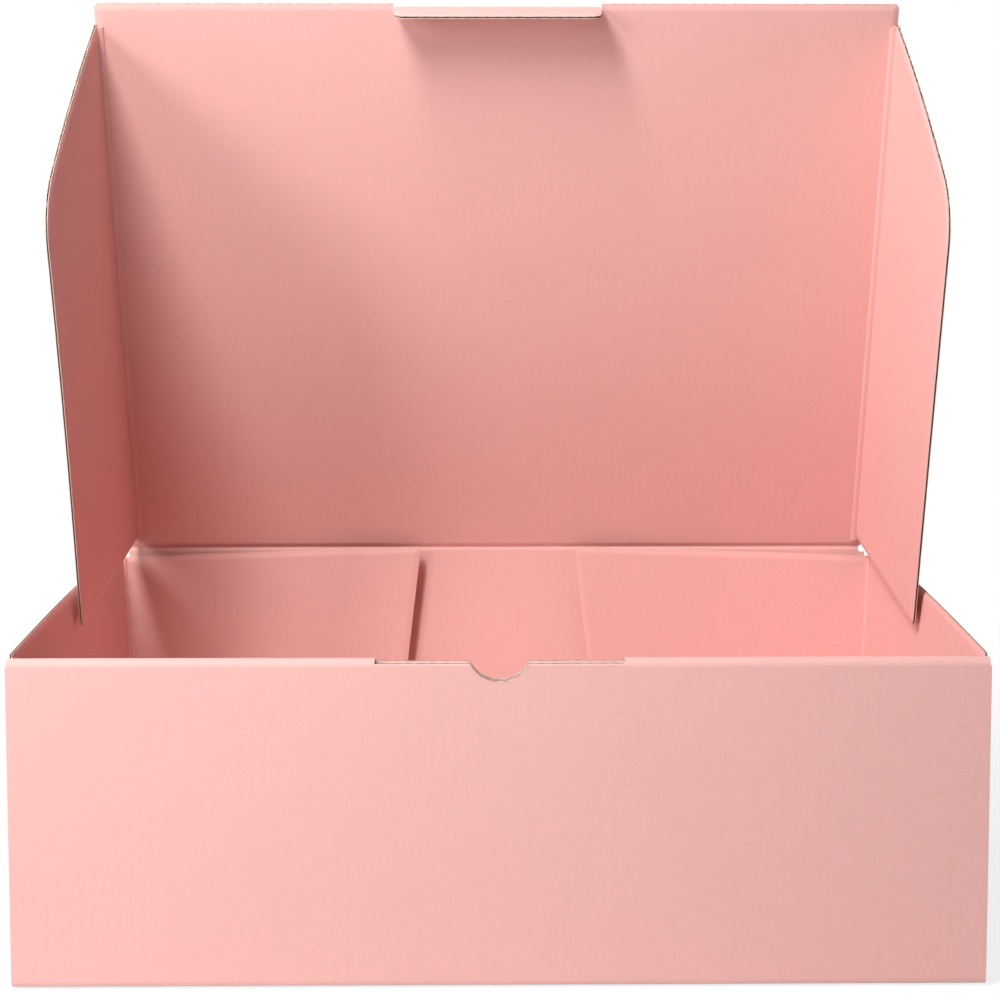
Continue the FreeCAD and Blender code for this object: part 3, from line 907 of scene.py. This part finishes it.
class MAILER_OT_tuck_flap(bpy.types.Operator):
    """Tuck flap on the lid's front edge"""
    bl_idname = "mailer.tuck_flap"
    bl_label = "Tuck flap"
    bl_options = {"REGISTER", "UNDO"}

    def execute(self, context):
        lid = context.scene.mailer_lid
        half = lid.tuck_width / 2
        length = lid.tuck_length
        reach = lid.length - TUCK_SETBACK
        piece = board("tuck_flap_board", -half, half, [("run", length - TUCK_END, 2)],
                      (TUCK_END, 0, 0))
        measure_across(piece)
        cuts = []
        for sign in (1, -1):
            for degrees in (18, 36, 54, 72):
                angle = math.radians(degrees)
                away = Vector((sign * math.sin(angle), math.cos(angle), 0))
                centre = Vector((sign * (half - TUCK_CORNER), length - TUCK_CORNER, 0))
                point = centre + away * TUCK_CORNER
                cuts.append((tuple(point), tuple(away)))
        trim(piece, cuts, (((0, length, 0), (0, 1, 0)),))
        place(piece, axes((1, 0, 0), (0, 0, 1), (0, -1, 0), (0, reach, 0)))
        body = gather("tuck_flap_board", [piece])
        place(body, lid_matrix())
        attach(body, "tuck_flap")
        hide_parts("tuck_flap")
        return {"FINISHED"}


def clip_fold(fold, wide, narrow, hinge_z):
    """Slope the fold's ends up to the lid's width and punch the relief hole on the right."""
    activate(fold)
    bpy.ops.object.mode_set(mode="EDIT")
    for side in (1, -1):
        slope = Vector((side * 2.5, 0, wide - narrow)).normalized()
        bpy.ops.mesh.select_all(action="SELECT")
        bpy.ops.mesh.bisect(plane_co=(side * wide * MM, 0, (hinge_z - 2.0) * MM), plane_no=slope,
                            use_fill=True, clear_outer=True)
    bpy.ops.object.mode_set(mode="OBJECT")
    paint(fold)
    deselect()
    bpy.ops.mesh.primitive_cylinder_add(
        vertices=40, radius=RELIEF_RADIUS * MM, depth=8 * MM, rotation=(math.pi / 2, 0, 0),
        location=((narrow + 0.2) * MM, fold.data.vertices[0].co.y, (hinge_z - 0.9) * MM))
    punch = bpy.context.object
    add_papers(punch, "cut_paper")
    bite_out(fold, punch)
    remove(punch)


def press_crease(fold, hinge):
    """Score line along the hinge: the board is pressed thinner there."""
    for vertex in fold.data.vertices:
        far = abs(vertex.co.z / MM - hinge[2])
        if far < SCORE_REACH:
            pressed = 0.25 + 0.25 * math.cos(math.pi * far / SCORE_REACH)
            vertex.co.y += (hinge[1] * MM - vertex.co.y) * pressed


class MAILER_OT_folds(bpy.types.Operator):
    """Scored folds that join the lid to the tray and the tuck flap to the lid"""
    bl_idname = "mailer.folds"
    bl_label = "Folds"
    bl_options = {"REGISTER", "UNDO"}

    def execute(self, context):
        tray = context.scene.mailer_tray
        lid = context.scene.mailer_lid
        hinge = [value / MM for value in JOINTS["lid_hinge"]["pos_m"]]
        lean = 90 - lid.opening
        tangent = FOLD_RADIUS * math.tan(math.radians(lean / 2))
        wide = tray.width / 2
        fold = board("lid_fold", -wide, wide,
                     [("run", hinge[2] - BACK_TOP - tangent, 9),
                      ("turn", lean, FOLD_RADIUS, 4),
                      ("run", LID_START - tangent, 5)],
                     (hinge[1], BACK_TOP, 90))
        measure_across(fold)
        clip_fold(fold, wide, wide - 1.0, hinge[2])
        press_crease(fold, hinge)
        fold = gather("lid_fold", [fold])
        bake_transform(fold)
        half = lid.tuck_width / 2
        straight = TUCK_END - FOLD_RADIUS
        tuck = board("tuck_fold", -half, half,
                     [("run", straight, 2), ("turn", 90, FOLD_RADIUS, 6), ("run", straight, 2)],
                     (lid.length - TUCK_SETBACK - TUCK_END, 0, 0))
        measure_across(tuck)
        tuck = gather("tuck_fold", [tuck])
        place(tuck, lid_matrix())
        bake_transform(tuck)
        return {"FINISHED"}


class MAILER_OT_stage(bpy.types.Operator):
    """Pale floor, soft light and camera"""
    bl_idname = "mailer.stage"
    bl_label = "Stage"
    bl_options = {"REGISTER", "UNDO"}

    def execute(self, context):
        scene = context.scene
        settings = scene.mailer_stage
        deselect()
        bpy.ops.mesh.primitive_plane_add(size=24, location=(0, 0, -0.0004))
        floor = context.object
        floor.name = "studio_floor"
        floor.data.materials.append(floor_material())
        world = bpy.data.worlds.new("studio")
        scene.world = world
        world.use_nodes = True
        tree = world.node_tree
        tree.nodes.clear()
        output = tree.nodes.new("ShaderNodeOutputWorld")
        seen = node(tree, "ShaderNodeBackground", in_Color=(1, 1, 1, 1), in_Strength=1.0)
        light = node(tree, "ShaderNodeBackground", in_Color=(1, 0.985, 0.97, 1),
                     in_Strength=settings.fill)
        mix = tree.nodes.new("ShaderNodeMixShader")
        path = tree.nodes.new("ShaderNodeLightPath")
        tree.links.new(path.outputs["Is Camera Ray"], mix.inputs[0])
        tree.links.new(light.outputs[0], mix.inputs[1])
        tree.links.new(seen.outputs[0], mix.inputs[2])
        tree.links.new(mix.outputs[0], output.inputs[0])
        for name, azimuth, height, size, distance, share in (
                ("key", 33, 54, (0.12, 0.45), 0.7, 1.0), ("low", 50, 18, (0.2, 0.4), 1.0, 0.6),
                ("rear_left", 150, 25, (0.9, 0.9), 1.5, 1.25),
                ("rear_right", -135, 25, (0.9, 0.9), 1.5, 1.25)):
            add_light(name, azimuth, height, size, distance, settings.key * share)
        bpy.ops.object.camera_add(location=(-0.0024, -0.688, 0.2127),
                                  rotation=(math.radians(90 - 4.99), 0, math.radians(-0.70)))
        camera = context.object
        camera.data.lens = settings.lens
        camera.data.sensor_width = 36
        camera.data.sensor_fit = "HORIZONTAL"
        camera.data.shift_x = -0.0169
        camera.data.shift_y = -0.086
        camera.data.clip_start = 0.01
        camera.data.clip_end = 50
        scene.camera = camera
        scene.view_settings.view_transform = "Standard"
        return {"FINISHED"}


def add_light(name, azimuth, height, size, distance, power):
    """Round soft lamp that faces the box; azimuth is to the left of the front."""
    target = Vector((0, 0, 0.12))
    around, up = math.radians(azimuth), math.radians(height)
    spot = target + distance * Vector((-math.cos(up) * math.sin(around),
                                       -math.cos(up) * math.cos(around), math.sin(up)))
    bpy.ops.object.light_add(type="AREA", location=spot)
    lamp = bpy.context.object
    lamp.name = name
    lamp.data.shape = "ELLIPSE"
    lamp.data.size, lamp.data.size_y = size
    lamp.data.energy = power
    lamp.rotation_euler = (target - spot).to_track_quat("-Z", "Y").to_euler()


def floor_material():
    material = bpy.data.materials.new("pale_floor")
    material.use_nodes = True
    tree = material.node_tree
    tree.nodes.clear()
    output = tree.nodes.new("ShaderNodeOutputMaterial")
    lit = node(tree, "ShaderNodeBsdfDiffuse", in_Color=(0.9, 0.9, 0.9, 1))
    glow = node(tree, "ShaderNodeEmission", in_Color=(1, 1, 1, 1), in_Strength=1.0)
    mix = tree.nodes.new("ShaderNodeMixShader")
    path = tree.nodes.new("ShaderNodeLightPath")
    spot = tree.nodes.new("ShaderNodeTexCoord")
    far = node(tree, "ShaderNodeVectorMath", operation="LENGTH")
    tree.links.new(spot.outputs["Object"], far.inputs[0])
    fade = node(tree, "ShaderNodeMapRange", interpolation_type="SMOOTHSTEP")
    for socket, value in zip(("From Min", "From Max", "To Min", "To Max"),
                             (0.12, 0.55, 0.8, 1.0)):
        fade.inputs[socket].default_value = value
    tree.links.new(far.outputs["Value"], fade.inputs["Value"])
    share = maths(tree, "MULTIPLY", path.outputs["Is Camera Ray"], fade.outputs["Result"])
    tree.links.new(share, mix.inputs[0])
    tree.links.new(lit.outputs[0], mix.inputs[1])
    tree.links.new(glow.outputs[0], mix.inputs[2])
    tree.links.new(mix.outputs[0], output.inputs[0])
    return material


class MAILER_PT_panel(bpy.types.Panel):
    bl_label = "Mailer"
    bl_idname = "MAILER_PT_panel"
    bl_space_type = "VIEW_3D"
    bl_region_type = "UI"
    bl_category = "Mailer"

    def draw(self, context):
        for name in ("mailer_board", "mailer_tray", "mailer_lid", "mailer_paper", "mailer_stage"):
            settings = getattr(context.scene, name)
            column = self.layout.column(align=True)
            for key in settings.__annotations__:
                column.prop(settings, key)
        for operator in OPERATORS:
            self.layout.operator(operator.bl_idname)


OPERATORS = (MAILER_OT_papers, MAILER_OT_tray, MAILER_OT_lid, MAILER_OT_tuck_flap,
             MAILER_OT_folds, MAILER_OT_stage)
SETTINGS = {"mailer_board": BoardSettings, "mailer_tray": TraySettings,
            "mailer_lid": LidSettings, "mailer_paper": PaperSettings,
            "mailer_stage": StageSettings}


def register():
    for kind in SETTINGS.values():
        bpy.utils.register_class(kind)
    for kind in OPERATORS + (MAILER_PT_panel,):
        bpy.utils.register_class(kind)
    for name, kind in SETTINGS.items():
        setattr(bpy.types.Scene, name, bpy.props.PointerProperty(type=kind))


def unregister():
    for name in SETTINGS:
        delattr(bpy.types.Scene, name)
    for kind in reversed(tuple(SETTINGS.values()) + OPERATORS + (MAILER_PT_panel,)):
        bpy.utils.unregister_class(kind)


def main():
    register()
    bpy.ops.mailer.papers()
    bpy.ops.mailer.tray()
    bpy.ops.mailer.lid()
    bpy.ops.mailer.tuck_flap()
    bpy.ops.mailer.folds()
    bpy.ops.mailer.stage()


if __name__ == "__main__":
    main()
